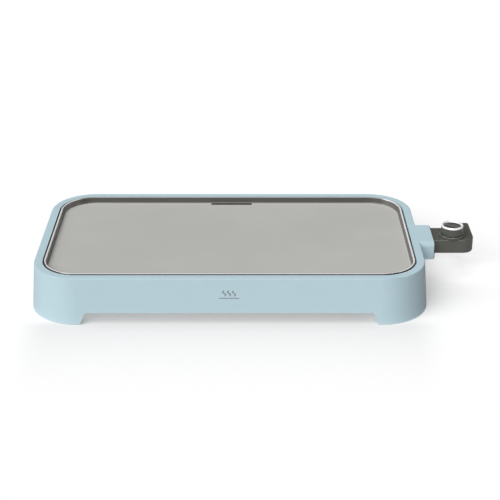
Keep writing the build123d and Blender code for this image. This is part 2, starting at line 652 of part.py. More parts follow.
def knob():
    """Turning cap: a neck, a body that narrows upwards, a dished top and a finger bar across the dish."""
    profile = Polygon(
        (0, DIAL_BASE),
        (HUB_RADIUS - 0.05, DIAL_BASE),
        (HUB_RADIUS - 0.05, SKIRT_TOP),
        (NECK_RADIUS, SKIRT_TOP),
        (NECK_RADIUS, KNOB_BASE),
        (KNOB_BASE_RADIUS, KNOB_BASE),
        (KNOB_TOP_RADIUS, RING_BOTTOM),
        (DISH_RADIUS, RING_BOTTOM),
        (DISH_RADIUS, DISH_Z),
        (0, DISH_Z),
        align=None,
    )
    outer_corner = profile.vertices().sort_by_distance((KNOB_BASE_RADIUS, KNOB_BASE, 0))[0]
    profile = fillet(outer_corner, 0.6)
    cap = Pos(DIAL_X, 0, 0) * revolve(Plane.XZ * profile, Axis.Z)
    bar = block(-DISH_RADIUS - 2, DISH_RADIUS + 2, -GRIP_HALF, GRIP_HALF, DISH_Z - 1, KNOB_TOP)
    bar = fillet(bar.edges().filter_by(Axis.X).group_by(Axis.Z)[-1], 1.1)
    bar = Pos(DIAL_X, 0, 0) * Rot(0, 0, GRIP_ANGLE) * bar
    cap += bar & rod_z(DIAL_X, 0, DISH_RADIUS, 60, 90)
    return cap - rod_z(DIAL_X, 0, SHAFT_RADIUS + 0.03, 50, SHAFT_TOP + 0.3)


def knob_ring():
    """Bright trim ring round the top of the knob."""
    mouth = DISH_RADIUS + 1.0
    profile = Polygon(
        (DISH_RADIUS, RING_BOTTOM),
        (RING_RADIUS, RING_BOTTOM),
        (RING_RADIUS, RING_TOP),
        (mouth, RING_TOP),
        (DISH_RADIUS, RING_TOP - 1.4),
        align=None,
    )
    profile = fillet(profile.vertices().sort_by_distance((RING_RADIUS, RING_TOP, 0))[0], 1.0)
    profile = fillet(profile.vertices().sort_by_distance((mouth, RING_TOP, 0))[0], 0.5)
    return Pos(DIAL_X, 0, 0) * revolve(Plane.XZ * profile, Axis.Z)


def dial_shaft():
    """Adjusting spindle of the thermostat, which turns with the knob."""
    shaft = rod_z(DIAL_X, 0, SHAFT_RADIUS, 53.5, SHAFT_TOP) + rod_z(DIAL_X, 0, 1.2, 51.8, 53.5)
    return chamfer(shaft.faces().sort_by(Axis.Z)[-1].edges(), 0.5)


def shaft_circlip():
    """Spring clip that keeps the shaft in its bearing."""
    ring = rod_z(DIAL_X, 0, 5.0, 57.8, 58.6) - rod_z(DIAL_X, 0, SHAFT_RADIUS + 0.02, 57, 60)
    return ring - block(DIAL_X, DIAL_X + 6, -1.5, 1.5, 57, 60)


PARTS = {
    "base_housing": base_housing,
    "hood_liner": hood_liner,
    "foot_pads": foot_pads,
    "griddle_plate": griddle_plate,
    "heating_element": heating_element,
    "terminal_pins": terminal_pins,
    "pin_insulators": pin_insulators,
    "terminal_bracket": terminal_bracket,
    "bracket_rivets": bracket_rivets,
    "brace_left": lambda: brace(-1),
    "brace_right": lambda: brace(1),
    "brace_screws": brace_screws,
    "plate_spacers": plate_spacers,
    "plate_screws": plate_screws,
    "shield_standoffs": shield_standoffs,
    "shield_screws": shield_screws,
    "heat_shield": heat_shield,
    "tray_rail_left": lambda: tray_rail(-1),
    "tray_rail_right": lambda: tray_rail(1),
    "rail_screws": rail_screws,
    "drip_tray": drip_tray,
    "control_lower_shell": control_lower_shell,
    "control_upper_shell": control_upper_shell,
    "control_screws": control_screws,
    "probe": probe,
    "terminal_block": terminal_block,
    "contact_sleeves": contact_sleeves,
    "thermostat_frame": thermostat_frame,
    "leaf_insulators": leaf_insulators,
    "fixed_contact_leaf": fixed_contact_leaf,
    "moving_contact_leaf": moving_contact_leaf,
    "indicator_lens": indicator_lens,
    "indicator_lamp": indicator_lamp,
    "cord_gland": cord_gland,
    "dial_skirt": dial_skirt,
    "knob": knob,
    "knob_ring": knob_ring,
    "dial_shaft": dial_shaft,
    "shaft_circlip": shaft_circlip,
}


def main():
    """Builds every piece, moves it into the griddle's own frame and writes its STEP file."""
    os.makedirs("parts", exist_ok=True)
    left_end = -(TOP_LENGTH / 2 + FLARE)
    middle = (left_end + CONTROL_END) / 2
    for name, build in PARTS.items():
        shape = Pos(-middle, 0, 0) * build()
        export_step(shape, os.path.join("parts", name + ".step"))
        print(name, "solids", len(shape.solids()), "volume", round(sum(s.volume for s in shape.solids())))
    print("frame origin is at x =", middle, "from the middle of the plate")


main()
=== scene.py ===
"""Looks, fine pieces, light and camera of a countertop griddle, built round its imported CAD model.

The file is laid out as an add-on and run as a script. New pieces are surfaces worked out as whole arrays,
in metres, in the model's own frame: +X towards the plug-in control, +Y towards the drip tray, +Z up, with
the table at z = 0.
"""

import math

import bpy
import numpy as np
from bpy.props import FloatProperty, FloatVectorProperty, PointerProperty
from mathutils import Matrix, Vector


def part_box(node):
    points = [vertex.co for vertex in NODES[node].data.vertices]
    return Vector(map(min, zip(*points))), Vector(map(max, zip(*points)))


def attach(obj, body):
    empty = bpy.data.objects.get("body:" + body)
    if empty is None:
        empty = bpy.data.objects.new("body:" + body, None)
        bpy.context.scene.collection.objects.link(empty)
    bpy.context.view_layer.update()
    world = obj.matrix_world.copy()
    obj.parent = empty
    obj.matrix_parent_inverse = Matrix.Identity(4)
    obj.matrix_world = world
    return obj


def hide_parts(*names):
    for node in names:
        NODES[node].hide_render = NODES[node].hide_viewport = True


bl_info = {
    "name": "Countertop griddle",
    "version": (1, 0, 0),
    "blender": (4, 5, 0),
    "location": "3D View > Sidebar > Griddle",
    "description": "Finishes, fine pieces and studio for a countertop griddle",
    "category": "Object",
}

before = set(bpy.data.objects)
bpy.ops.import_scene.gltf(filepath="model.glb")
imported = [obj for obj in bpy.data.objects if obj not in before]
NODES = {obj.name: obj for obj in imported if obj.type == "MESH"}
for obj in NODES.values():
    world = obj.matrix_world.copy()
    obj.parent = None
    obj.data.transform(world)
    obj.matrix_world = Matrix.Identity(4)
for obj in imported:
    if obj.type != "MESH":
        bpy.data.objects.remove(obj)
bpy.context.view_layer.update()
MM = 0.001
DRAWN_ALONG_X = (60.0, 2600.0, 2600.0)  # lines per metre
HOUSING_LOW, HOUSING_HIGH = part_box("base_housing")
PLATE_LOW, PLATE_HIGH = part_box("griddle_plate")
SKIRT_LOW, SKIRT_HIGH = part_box("dial_skirt")
SHIELD_LOW, SHIELD_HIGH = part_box("heat_shield")
PLATE_X = (PLATE_LOW.x + PLATE_HIGH.x) / 2
DIAL_X = (SKIRT_LOW.x + SKIRT_HIGH.x) / 2
DIAL_Y = (SKIRT_LOW.y + SKIRT_HIGH.y) / 2


# ---- What a user would change ----
def colour_setting(name, description, default):
    """A colour that a user can change, in linear values."""
    return FloatVectorProperty(
        name=name, description=description, default=default, subtype="COLOR", min=0, max=1
    )


def length_setting(name, description, default):
    """A length that a user can change, in metres."""
    return FloatProperty(name=name, description=description, default=default, unit="LENGTH")


class GriddleColours(bpy.types.PropertyGroup):
    """Colours of the finishes."""

    base: colour_setting("Base", "Moulded base", (0.368, 0.482, 0.528))
    plate_floor: colour_setting("Plate floor", "Coating on the floor", (0.425, 0.423, 0.408))
    # The coating's colour, darkened as painted shade on the steep walls.
    plate_wall_shade: colour_setting("Plate wall", "Coating on the steep wall", (0.13, 0.125, 0.115))
    plate_lip: colour_setting("Plate lip", "Bright top of the raised edge", (0.86, 0.86, 0.84))
    control: colour_setting("Control", "Casing of the control", (0.070, 0.070, 0.060))
    knob: colour_setting("Knob", "Turning knob", (0.062, 0.062, 0.054))
    marks: colour_setting("Marks", "Printed marks of the dial", (0.36, 0.36, 0.33))
    emblem: colour_setting("Emblem", "Small mark at the front", (0.17, 0.19, 0.20))


class GriddleSizes(bpy.types.PropertyGroup):
    """Sizes of the pieces that are added to the model."""

    emblem_width: length_setting("Emblem width", "Width of the front mark", 28 * MM)
    emblem_height: length_setting("Emblem height", "Height of the front mark", 11 * MM)
    emblem_z: length_setting("Emblem centre", "Height above the table", 44.8 * MM)
    mark_height: length_setting("Mark relief", "How far printed marks stand proud", 0.06 * MM)
    tread_depth: length_setting("Tread depth", "Depth of the rings under the pads", 0.7 * MM)
    bead_height: length_setting("Bead height", "Relief of the pressed beads", 1.0 * MM)


class GriddleStudio(bpy.types.PropertyGroup):
    """Camera and light."""

    lens: FloatProperty(name="Lens", description="Focal length in millimetres", default=93.6)
    pitch: FloatProperty(
        name="Pitch", description="The camera's tilt down", default=math.radians(24.605), subtype="ANGLE"
    )
    key: FloatProperty(name="Key", description="Strength of the main light", default=4.95)
    key_width: FloatProperty(
        name="Key width", description="Width of the main light", default=math.radians(66), subtype="ANGLE"
    )
    sky: FloatProperty(name="Sky", description="Strength of the light from all round", default=0.05)
    table_glow: FloatProperty(
        name="Table glow", description="How much the light table shines by itself", default=0.385
    )


# ---- Surfaces as arrays ----
def surface(name, points, close_u=False, close_v=False, cap_start=False, cap_end=False):
    """A mesh from an array of points (u, v, xyz).

    Neighbours in u and v make quads; close_u and close_v join the last row or column to the first; a cap
    fans the first or last row of u to its middle.
    """
    rows, columns = points.shape[:2]
    index = np.arange(rows * columns).reshape(rows, columns)
    next_u = np.roll(index, -1, 0) if close_u else index[1:]
    this_u = index if close_u else index[:-1]
    quads = np.stack([this_u, np.roll(this_u, -1, 1), np.roll(next_u, -1, 1), next_u], axis=-1)
    if not close_v:
        quads = quads[:, :-1]
    quads = quads.reshape(-1, 4)
    vertices = points.reshape(-1, 3)
    triangles = []
    for wanted, row, flip in ((cap_start, 0, True), (cap_end, rows - 1, False)):
        if wanted:
            ring = index[row]
            middle = np.full(columns, len(vertices))
            vertices = np.vstack([vertices, points[row].mean(0)])
            ends = (np.roll(ring, -1), ring) if flip else (ring, np.roll(ring, -1))
            triangles.append(np.stack([ends[0], ends[1], middle], axis=-1))
    triangles = np.concatenate(triangles) if triangles else np.zeros((0, 3), int)
    return from_arrays(name, vertices, quads, triangles)


def from_arrays(name, vertices, quads, triangles):
    """A smooth mesh object from whole arrays of vertices, quads and triangles."""
    loops = np.concatenate([quads.ravel(), triangles.ravel()]).astype(np.int32)
    sizes = np.concatenate([np.full(len(quads), 4), np.full(len(triangles), 3)]).astype(np.int32)
    starts = np.concatenate([[0], np.cumsum(sizes)[:-1]]).astype(np.int32)
    mesh = bpy.data.meshes.new(name)
    mesh.vertices.add(len(vertices))
    mesh.vertices.foreach_set("co", np.asarray(vertices, np.float32).ravel())
    mesh.loops.add(len(loops))
    mesh.loops.foreach_set("vertex_index", loops)
    mesh.polygons.add(len(sizes))
    mesh.polygons.foreach_set("loop_start", starts)
    mesh.polygons.foreach_set("loop_total", sizes)
    mesh.polygons.foreach_set("use_smooth", np.ones(len(sizes), bool))
    mesh.update(calc_edges=True)
    mesh.validate()
    piece = bpy.data.objects.new(name, mesh)
    bpy.context.scene.collection.objects.link(piece)
    return piece


def join(name, pieces):
    """Several mesh objects as one object, with their vertices and faces laid end to end."""
    vertices, faces, offset = [], [], 0
    for piece in pieces:
        mesh = piece.data
        co = np.empty(len(mesh.vertices) * 3, np.float32)
        mesh.vertices.foreach_get("co", co)
        vertices.append(co.reshape(-1, 3))
        faces += [[v + offset for v in face.vertices] for face in mesh.polygons]
        offset += len(mesh.vertices)
        bpy.data.objects.remove(piece)
    mesh = bpy.data.meshes.new(name)
    mesh.from_pydata(np.vstack(vertices).tolist(), [], faces)
    mesh.polygons.foreach_set("use_smooth", np.ones(len(faces), bool))
    whole = bpy.data.objects.new(name, mesh)
    bpy.context.scene.collection.objects.link(whole)
    return whole


def lathe(name, profile, centre, axis="Z", steps=72):
    """A closed profile of (radius, height) pairs turned about an axis through centre."""
    angle = np.linspace(0, 2 * np.pi, steps, endpoint=False)[:, None]
    radius, height = np.asarray(profile, float).T
    across, up = np.cos(angle) * radius, np.sin(angle) * radius
    along = np.broadcast_to(height, across.shape)
    order = {"Z": (across, up, along), "Y": (up, along, across)}[axis]
    points = np.stack(order, axis=-1) + np.array(centre)
    return surface(name, points, close_u=True, close_v=True)


def bead(name, path, normal, half_width, relief, closed=False, sides=9):
    """A half-round bead along a path.

    The section is half an ellipse, half_width to each side and relief high along normal, and its flat back
    lies a little under the path. Open ends taper to nothing over a quarter circle.
    """
    back_width, back_depth, least_taper = 0.6, 0.12, 0.05
    path = np.asarray(path, float)
    normal = np.asarray(normal, float) / np.linalg.norm(normal)
    if closed:
        along = np.roll(path, -1, 0) - np.roll(path, 1, 0)
        taper = np.ones(len(path))
    else:
        along = np.gradient(path, axis=0)
        run = np.concatenate([[0], np.cumsum(np.linalg.norm(np.diff(path, axis=0), axis=1))])
        from_end = np.minimum(run, run[-1] - run) / half_width
        taper = np.sqrt(np.clip(1 - (1 - np.clip(from_end, 0, 1)) ** 2, least_taper**2, 1))
    along /= np.linalg.norm(along, axis=1, keepdims=True)
    side = np.cross(along, normal)
    t = np.linspace(0, np.pi, sides)
    across = np.concatenate([np.cos(t), [-back_width, back_width]]) * half_width
    up = np.concatenate([np.sin(t), [-back_depth, -back_depth]]) * relief
    points = (
        path[:, None]
        + side[:, None] * (across[None, :, None] * taper[:, None, None])
        + normal * (up[None, :, None] * taper[:, None, None])
    )
    return surface(name, points, close_u=closed, close_v=True, cap_start=not closed, cap_end=not closed)


def rounded_loop(half_x, half_y, corner, per_corner=14):
    """Points round a rectangle with round corners: four quarter circles, joined at their ends by lines."""
    quarter = np.linspace(0, np.pi / 2, per_corner)
    points = []
    for turn, (sx, sy) in enumerate(((1, 1), (-1, 1), (-1, -1), (1, -1))):
        angle = quarter + turn * np.pi / 2
        x = sx * (half_x - corner) + corner * np.cos(angle)
        y = sy * (half_y - corner) + corner * np.sin(angle)
        points.append(np.stack([x, y], axis=-1))
    return np.concatenate(points)


def hit(node, start, direction):
    """Where a ray meets a CAD node, in the model's frame."""
    found, place, _, _ = NODES[node].ray_cast(Vector(start), Vector(direction))
    if not found:
        raise RuntimeError(f"no surface of {node} lies on the ray from {start}")
    return place


def face_outwards(piece):
    """Turns every face of a closed new piece outwards."""
    bpy.context.view_layer.objects.active = piece
    for other in bpy.context.selected_objects:
        other.select_set(False)
    piece.select_set(True)
    bpy.ops.object.mode_set(mode="EDIT")
    bpy.ops.mesh.select_all(action="SELECT")
    bpy.ops.mesh.normals_make_consistent(inside=False)
    bpy.ops.object.mode_set(mode="OBJECT")
    piece.select_set(False)
    return piece


# ---- Nodes ----
def add(tree, kind, settings=None, **inputs):
    """A node with its settings and inputs, each a value or a socket; an underscore stands for a space."""
    made = tree.nodes.new(kind)
    for key, value in (settings or {}).items():
        setattr(made, key, value)
    for key, value in inputs.items():
        feed(tree, value, made.inputs[key.replace("_", " ")])
    return made


def feed(tree, value, socket):
    """Links a socket to an input, or sets the input's value."""
    if isinstance(value, bpy.types.NodeSocket):
        tree.links.new(value, socket)
    else:
        socket.default_value = value


def calc(tree, operation, first, second=0.0, third=0.0, clamp=False):
    """A Math node's result."""
    made = add(tree, "ShaderNodeMath", {"operation": operation, "use_clamp": clamp})
    for value, socket in zip((first, second, third), made.inputs):
        feed(tree, value, socket)
    return made.outputs[0]


def times(tree, first, second):
    """The product of two numbers."""
    return calc(tree, "MULTIPLY", first, second)


def vector_calc(tree, operation, *values):
    """A Vector Math node's outputs."""
    made = add(tree, "ShaderNodeVectorMath", {"operation": operation})
    for value, socket in zip(values, made.inputs):
        feed(tree, value, socket)
    return made.outputs


def axes(tree, vector):
    """The X, Y and Z of a vector."""
    return add(tree, "ShaderNodeSeparateXYZ", None, Vector=vector).outputs


def ramp(tree, value, low, high, to_low=0.0, to_high=1.0):
    """A value carried from one range to another by a smooth step, and clamped."""
    made = add(
        tree,
        "ShaderNodeMapRange",
        {"interpolation_type": "SMOOTHSTEP"},
        Value=value,
        From_Min=low,
        From_Max=high,
        To_Min=to_low,
        To_Max=to_high,
    )
    return made.outputs[0]


def blend(tree, factor, first, second):
    """Two colours mixed by a factor."""
    made = add(tree, "ShaderNodeMix", {"data_type": "RGBA"})
    colour_inputs = [socket for socket in made.inputs if socket.type == "RGBA"]
    for value, socket in zip((factor, first, second), (made.inputs[0], *colour_inputs)):
        feed(tree, value, socket)
    return next(socket for socket in made.outputs if socket.type == "RGBA")


def rgba(colour):
    """A colour with full alpha."""
    return (*tuple(colour)[:3], 1.0)


def grey(level):
    """A neutral colour with full alpha."""
    return (level, level, level, 1.0)


def noise(tree, vector, scale, detail=3.0, rough=0.55):
    """Noise between 0 and 1."""
    made = add(tree, "ShaderNodeTexNoise", None, Vector=vector, Scale=scale, Detail=detail, Roughness=rough)
    return made.outputs["Fac"]


def place_on(tree):
    """The surface's own coordinates, in metres."""
    return tree.nodes.new("ShaderNodeTexCoord").outputs["Object"]


def facing_on(tree):
    """The surface's own normal."""
    return tree.nodes.new("ShaderNodeTexCoord").outputs["Normal"]


def group(name, takes, gives, fill):
    """A shader node group.

    takes is {input: default} and gives is {output: size}, where size is 1 for a number and 4 for a colour.
    """
    found = bpy.data.node_groups.get(name)
    if found:
        return found
    tree = bpy.data.node_groups.new(name, "ShaderNodeTree")
    kinds = {1: "NodeSocketFloat", 3: "NodeSocketVector", 4: "NodeSocketColor"}
    for label, value in takes.items():
        size = len(value) if hasattr(value, "__len__") else 1
        socket = tree.interface.new_socket(name=label, in_out="INPUT", socket_type=kinds[size])
        socket.default_value = value
    for label, size in gives.items():
        tree.interface.new_socket(name=label, in_out="OUTPUT", socket_type=kinds[size])
    entry = tree.nodes.new("NodeGroupInput")
    exit_node = tree.nodes.new("NodeGroupOutput")
    for label, value in fill(tree, entry.outputs).items():
        tree.links.new(value, exit_node.inputs[label])
    return tree


def use(tree, made_group, **inputs):
    """A placed node group's outputs."""
    made = tree.nodes.new("ShaderNodeGroup")
    made.node_tree = made_group
    for key, value in inputs.items():
        feed(tree, value, made.inputs[key.replace("_", " ")])
    return made.outputs


def moulded_grain():
    """Fine texture of a tool's surface: small noise over soft cells, with a sparse fleck."""

    def fill(tree, takes):
        where = place_on(tree)
        fine = noise(tree, where, takes["Scale"], 4.0, 0.6)
        cells = add(
            tree,
            "ShaderNodeTexVoronoi",
            {"feature": "SMOOTH_F1"},
            Vector=where,
            Scale=times(tree, takes["Scale"], 0.45),
        )
        soft = ramp(tree, cells.outputs["Distance"], 0.0, 0.9)
        height = calc(tree, "MULTIPLY_ADD", fine, 0.6, times(tree, soft, 0.4))
        fleck = noise(tree, where, times(tree, takes["Scale"], 0.8), 1.0, 0.5)
        return {"Height": height, "Fleck": ramp(tree, fleck, 0.62, 0.74)}

    return group("Moulded grain", {"Scale": 1400.0}, {"Height": 1, "Fleck": 1}, fill)


def tone_drift():
    """Slow change of tone over a surface, as flow in the moulding or thickness of a coating gives."""

    def fill(tree, takes):
        where = place_on(tree)
        slow = noise(tree, where, takes["Scale"], 2.0, 0.5)
        level = calc(tree, "MULTIPLY_ADD", calc(tree, "SUBTRACT", slow, 0.5), takes["Amount"], 1.0)
        hue = noise(tree, where, times(tree, takes["Scale"], 0.6), 1.0, 0.5)
        tint = calc(tree, "MULTIPLY_ADD", calc(tree, "SUBTRACT", hue, 0.5), 0.012, 0.5)
        made = add(tree, "ShaderNodeHueSaturation", None, Color=takes["Color"], Value=level, Hue=tint)
        return {"Color": made.outputs["Color"]}

    return group(
        "Tone drift", {"Color": grey(0.5), "Amount": 0.06, "Scale": 9.0}, {"Color": 4}, fill
    )


def handling():
    """Smudges and rubbed places, which change the gloss a little."""

    def fill(tree, takes):
        where = place_on(tree)
        wiped_along_x = (1.0, 1.7, 1.0)
        stretched = add(tree, "ShaderNodeMapping", None, Vector=where, Scale=wiped_along_x)
        broad = noise(tree, stretched.outputs["Vector"], takes["Scale"], 5.0, 0.62)
        mask = ramp(tree, broad, 0.48, 0.68)
        fine = noise(tree, where, times(tree, takes["Scale"], 22.0), 2.0, 0.6)
        smudge = calc(tree, "SUBTRACT", times(tree, mask, fine), 0.2)
        change = times(tree, smudge, takes["Amount"])
        return {"Roughness": calc(tree, "ADD", takes["Roughness"], change, clamp=True), "Mask": mask}

    return group(
        "Handling", {"Roughness": 0.45, "Amount": 0.12, "Scale": 16.0}, {"Roughness": 1, "Mask": 1}, fill
    )


def drawn_lines():
    """Long fine lines left by rolling, drawing or brushing, along the axis with the least stretch."""

    def fill(tree, takes):
        where = place_on(tree)
        laid = add(tree, "ShaderNodeMapping", None, Vector=where, Scale=takes["Stretch"])
        fine = noise(tree, laid.outputs["Vector"], 1.0, 3.0, 0.7)
        broad = noise(tree, laid.outputs["Vector"], 0.22, 2.0, 0.5)
        height = calc(tree, "MULTIPLY_ADD", fine, 0.7, times(tree, broad, 0.3))
        return {"Height": height, "Streak": ramp(tree, fine, 0.35, 0.65)}

    return group("Drawn lines", {"Stretch": (60.0, 3000.0, 3000.0)}, {"Height": 1, "Streak": 1}, fill)


def worn_edges():
    """Mask of outer edges: how far the rounded normal leans away from the true one, broken up by noise."""

    def fill(tree, takes):
        rounded = add(tree, "ShaderNodeBevel", {"samples": 4}, Radius=takes["Radius"])
        true = tree.nodes.new("ShaderNodeNewGeometry").outputs["Normal"]
        facing = vector_calc(tree, "DOT_PRODUCT", rounded.outputs["Normal"], true)["Value"]
        lean = ramp(tree, facing, 0.995, 0.86)
        broken = ramp(tree, noise(tree, place_on(tree), 260.0, 4.0, 0.7), 0.36, 0.62)
        return {"Mask": times(tree, lean, broken)}

    return group("Worn edges", {"Radius": 0.4 * MM}, {"Mask": 1}, fill)


def painted_turn_shade():
    """Mask of the rounded turn between a level top and an upright side, from how far the face looks up,
    where shade is painted to dull the highlight there.
    """

    def fill(tree, takes):
        up = axes(tree, facing_on(tree))["Z"]
        return {"Mask": times(tree, ramp(tree, up, 0.22, 0.5), ramp(tree, up, 0.985, 0.86))}

    return group("Painted turn shade", {}, {"Mask": 1}, fill)


# ---- Finishes ----
def shader(name):
    """An empty material: its tree and its Principled shader."""
    material = bpy.data.materials.new(name)
    material.use_nodes = True
    tree = material.node_tree
    return material, tree, tree.nodes["Principled BSDF"]


def relief(tree, main, height, depth):
    """Puts a height on the surface as a bump of a real depth in metres."""
    made = add(tree, "ShaderNodeBump", None, Height=height, Distance=depth)
    tree.links.new(made.outputs["Normal"], main.inputs["Normal"])


def plastic(
    name, colour, roughness=0.42, grain=1500.0, depth=0.02 * MM, drift=0.05, edge=0.10, gloss=0.5, turn=0.0
):
    """Moulded plastic: fine grain, slow drift of tone, paler rubbed edges and smudges in its gloss.

    grain is in bumps per metre and depth is how deep they are. drift, edge and turn are how far the tone
    drifts, how much paler the sharp edges are, and how much painted shade darkens the rounded turns to dull
    their highlight.
    """
    material, tree, main = shader(name)
    grains = use(tree, moulded_grain(), Scale=grain)
    tone = use(tree, tone_drift(), Color=rgba(colour), Amount=drift, Scale=9.0)["Color"]
    lighter = blend(tree, edge, rgba(colour), grey(0.9))
    rubbed = blend(tree, use(tree, worn_edges(), Radius=0.5 * MM)["Mask"], tone, lighter)
    shown = blend(tree, times(tree, grains["Fleck"], 0.05), rubbed, grey(0.02))
    # Painted shade: turn darkens the rounded turns, to dull the highlight the light puts on them.
    if turn:
        shown = blend(tree, times(tree, use(tree, painted_turn_shade())["Mask"], turn), shown, grey(0.0))
    feed(tree, shown, main.inputs["Base Color"])
    touched = use(tree, handling(), Roughness=roughness, Amount=0.14, Scale=14.0)
    feed(tree, touched["Roughness"], main.inputs["Roughness"])
    relief(tree, main, grains["Height"], depth)
    main.inputs["Specular IOR Level"].default_value = gloss
    return material


def even(lines):
    """The same number of lines per metre along every axis, for a surface that wasn't drawn one way."""
    return (lines, lines, lines)


def metal(name, colour, roughness=0.32, stretch=DRAWN_ALONG_X, depth=0.006 * MM, tarnish=0.12):
    """Bare or plated metal: drawn lines, darker tarnish in broad patches and bright rubbed edges.

    stretch is in lines per metre along each axis.
    """
    material, tree, main = shader(name)
    lines = use(tree, drawn_lines(), Stretch=stretch)
    touched = use(tree, handling(), Roughness=roughness, Amount=0.22, Scale=24.0)
    brown = (0.10, 0.085, 0.07, 1.0)
    dull = blend(tree, times(tree, touched["Mask"], tarnish), rgba(colour), brown)
    streaked = blend(tree, times(tree, lines["Streak"], 0.10), dull, grey(0.95))
    bright = blend(tree, use(tree, worn_edges(), Radius=0.25 * MM)["Mask"], streaked, (0.9, 0.9, 0.88, 1.0))
    feed(tree, bright, main.inputs["Base Color"])
    rough = calc(tree, "MULTIPLY_ADD", lines["Streak"], 0.06, touched["Roughness"], clamp=True)
    feed(tree, rough, main.inputs["Roughness"])
    main.inputs["Metallic"].default_value = 1.0
    relief(tree, main, lines["Height"], depth)
    return material


def rubber(name, colour):
    """Matt rubber with a faint bloom."""
    material, tree, main = shader(name)
    grains = use(tree, moulded_grain(), Scale=2600.0)
    touched = use(tree, handling(), Roughness=0.78, Amount=0.2, Scale=40.0)
    bloom = blend(tree, times(tree, touched["Mask"], 0.22), rgba(colour), (0.20, 0.20, 0.19, 1.0))
    feed(tree, bloom, main.inputs["Base Color"])
    feed(tree, touched["Roughness"], main.inputs["Roughness"])
    main.inputs["Specular IOR Level"].default_value = 0.32
    relief(tree, main, grains["Height"], 0.03 * MM)
    return material


def fired_ceramic(name, colour):
    """Unglazed ceramic: chalky, with fine pores and a few iron specks."""
    material, tree, main = shader(name)
    grains = use(tree, moulded_grain(), Scale=3200.0)
    tone = use(tree, tone_drift(), Color=rgba(colour), Amount=0.10, Scale=60.0)["Color"]
    specks = blend(tree, times(tree, grains["Fleck"], 0.35), tone, (0.30, 0.22, 0.15, 1.0))
    feed(tree, specks, main.inputs["Base Color"])
    feed(tree, calc(tree, "MULTIPLY_ADD", grains["Height"], 0.2, 0.6), main.inputs["Roughness"])
    relief(tree, main, grains["Height"], 0.03 * MM)
    return material


def tinted_glass(name, colour, roughness=0.08):
    """Clear or tinted glass with faint haze."""
    material, tree, main = shader(name)
    touched = use(tree, handling(), Roughness=roughness, Amount=0.10, Scale=90.0)
    tone = use(tree, tone_drift(), Color=rgba(colour), Amount=0.10, Scale=120.0)["Color"]
    feed(tree, tone, main.inputs["Base Color"])
    feed(tree, touched["Roughness"], main.inputs["Roughness"])
    main.inputs["Transmission Weight"].default_value = 0.85
    main.inputs["IOR"].default_value = 1.5
    return material


def leaning_out(tree, where, normal):
    """How far a face of the plate leans outwards.

    The place is taken as parts of the half lengths from the plate's middle, each part is cubed, so that only
    faces near the sides count, and the dot product with the normal is the answer.
    """
    half = (PLATE_HIGH - PLATE_LOW) / 2
    middle = (PLATE_HIGH + PLATE_LOW) / 2
    scale = (1 / half.x, 1 / half.y, 0)
    shift = (-middle.x / half.x, -middle.y / half.y, 0)
    part = vector_calc(tree, "MULTIPLY_ADD", where, scale, shift)[0]
    square = vector_calc(tree, "MULTIPLY", part, part)[0]
    cube = vector_calc(tree, "MULTIPLY", square, part)[0]
    return calc(tree, "MAXIMUM", vector_calc(tree, "DOT_PRODUCT", cube, normal)["Value"], 0.0)


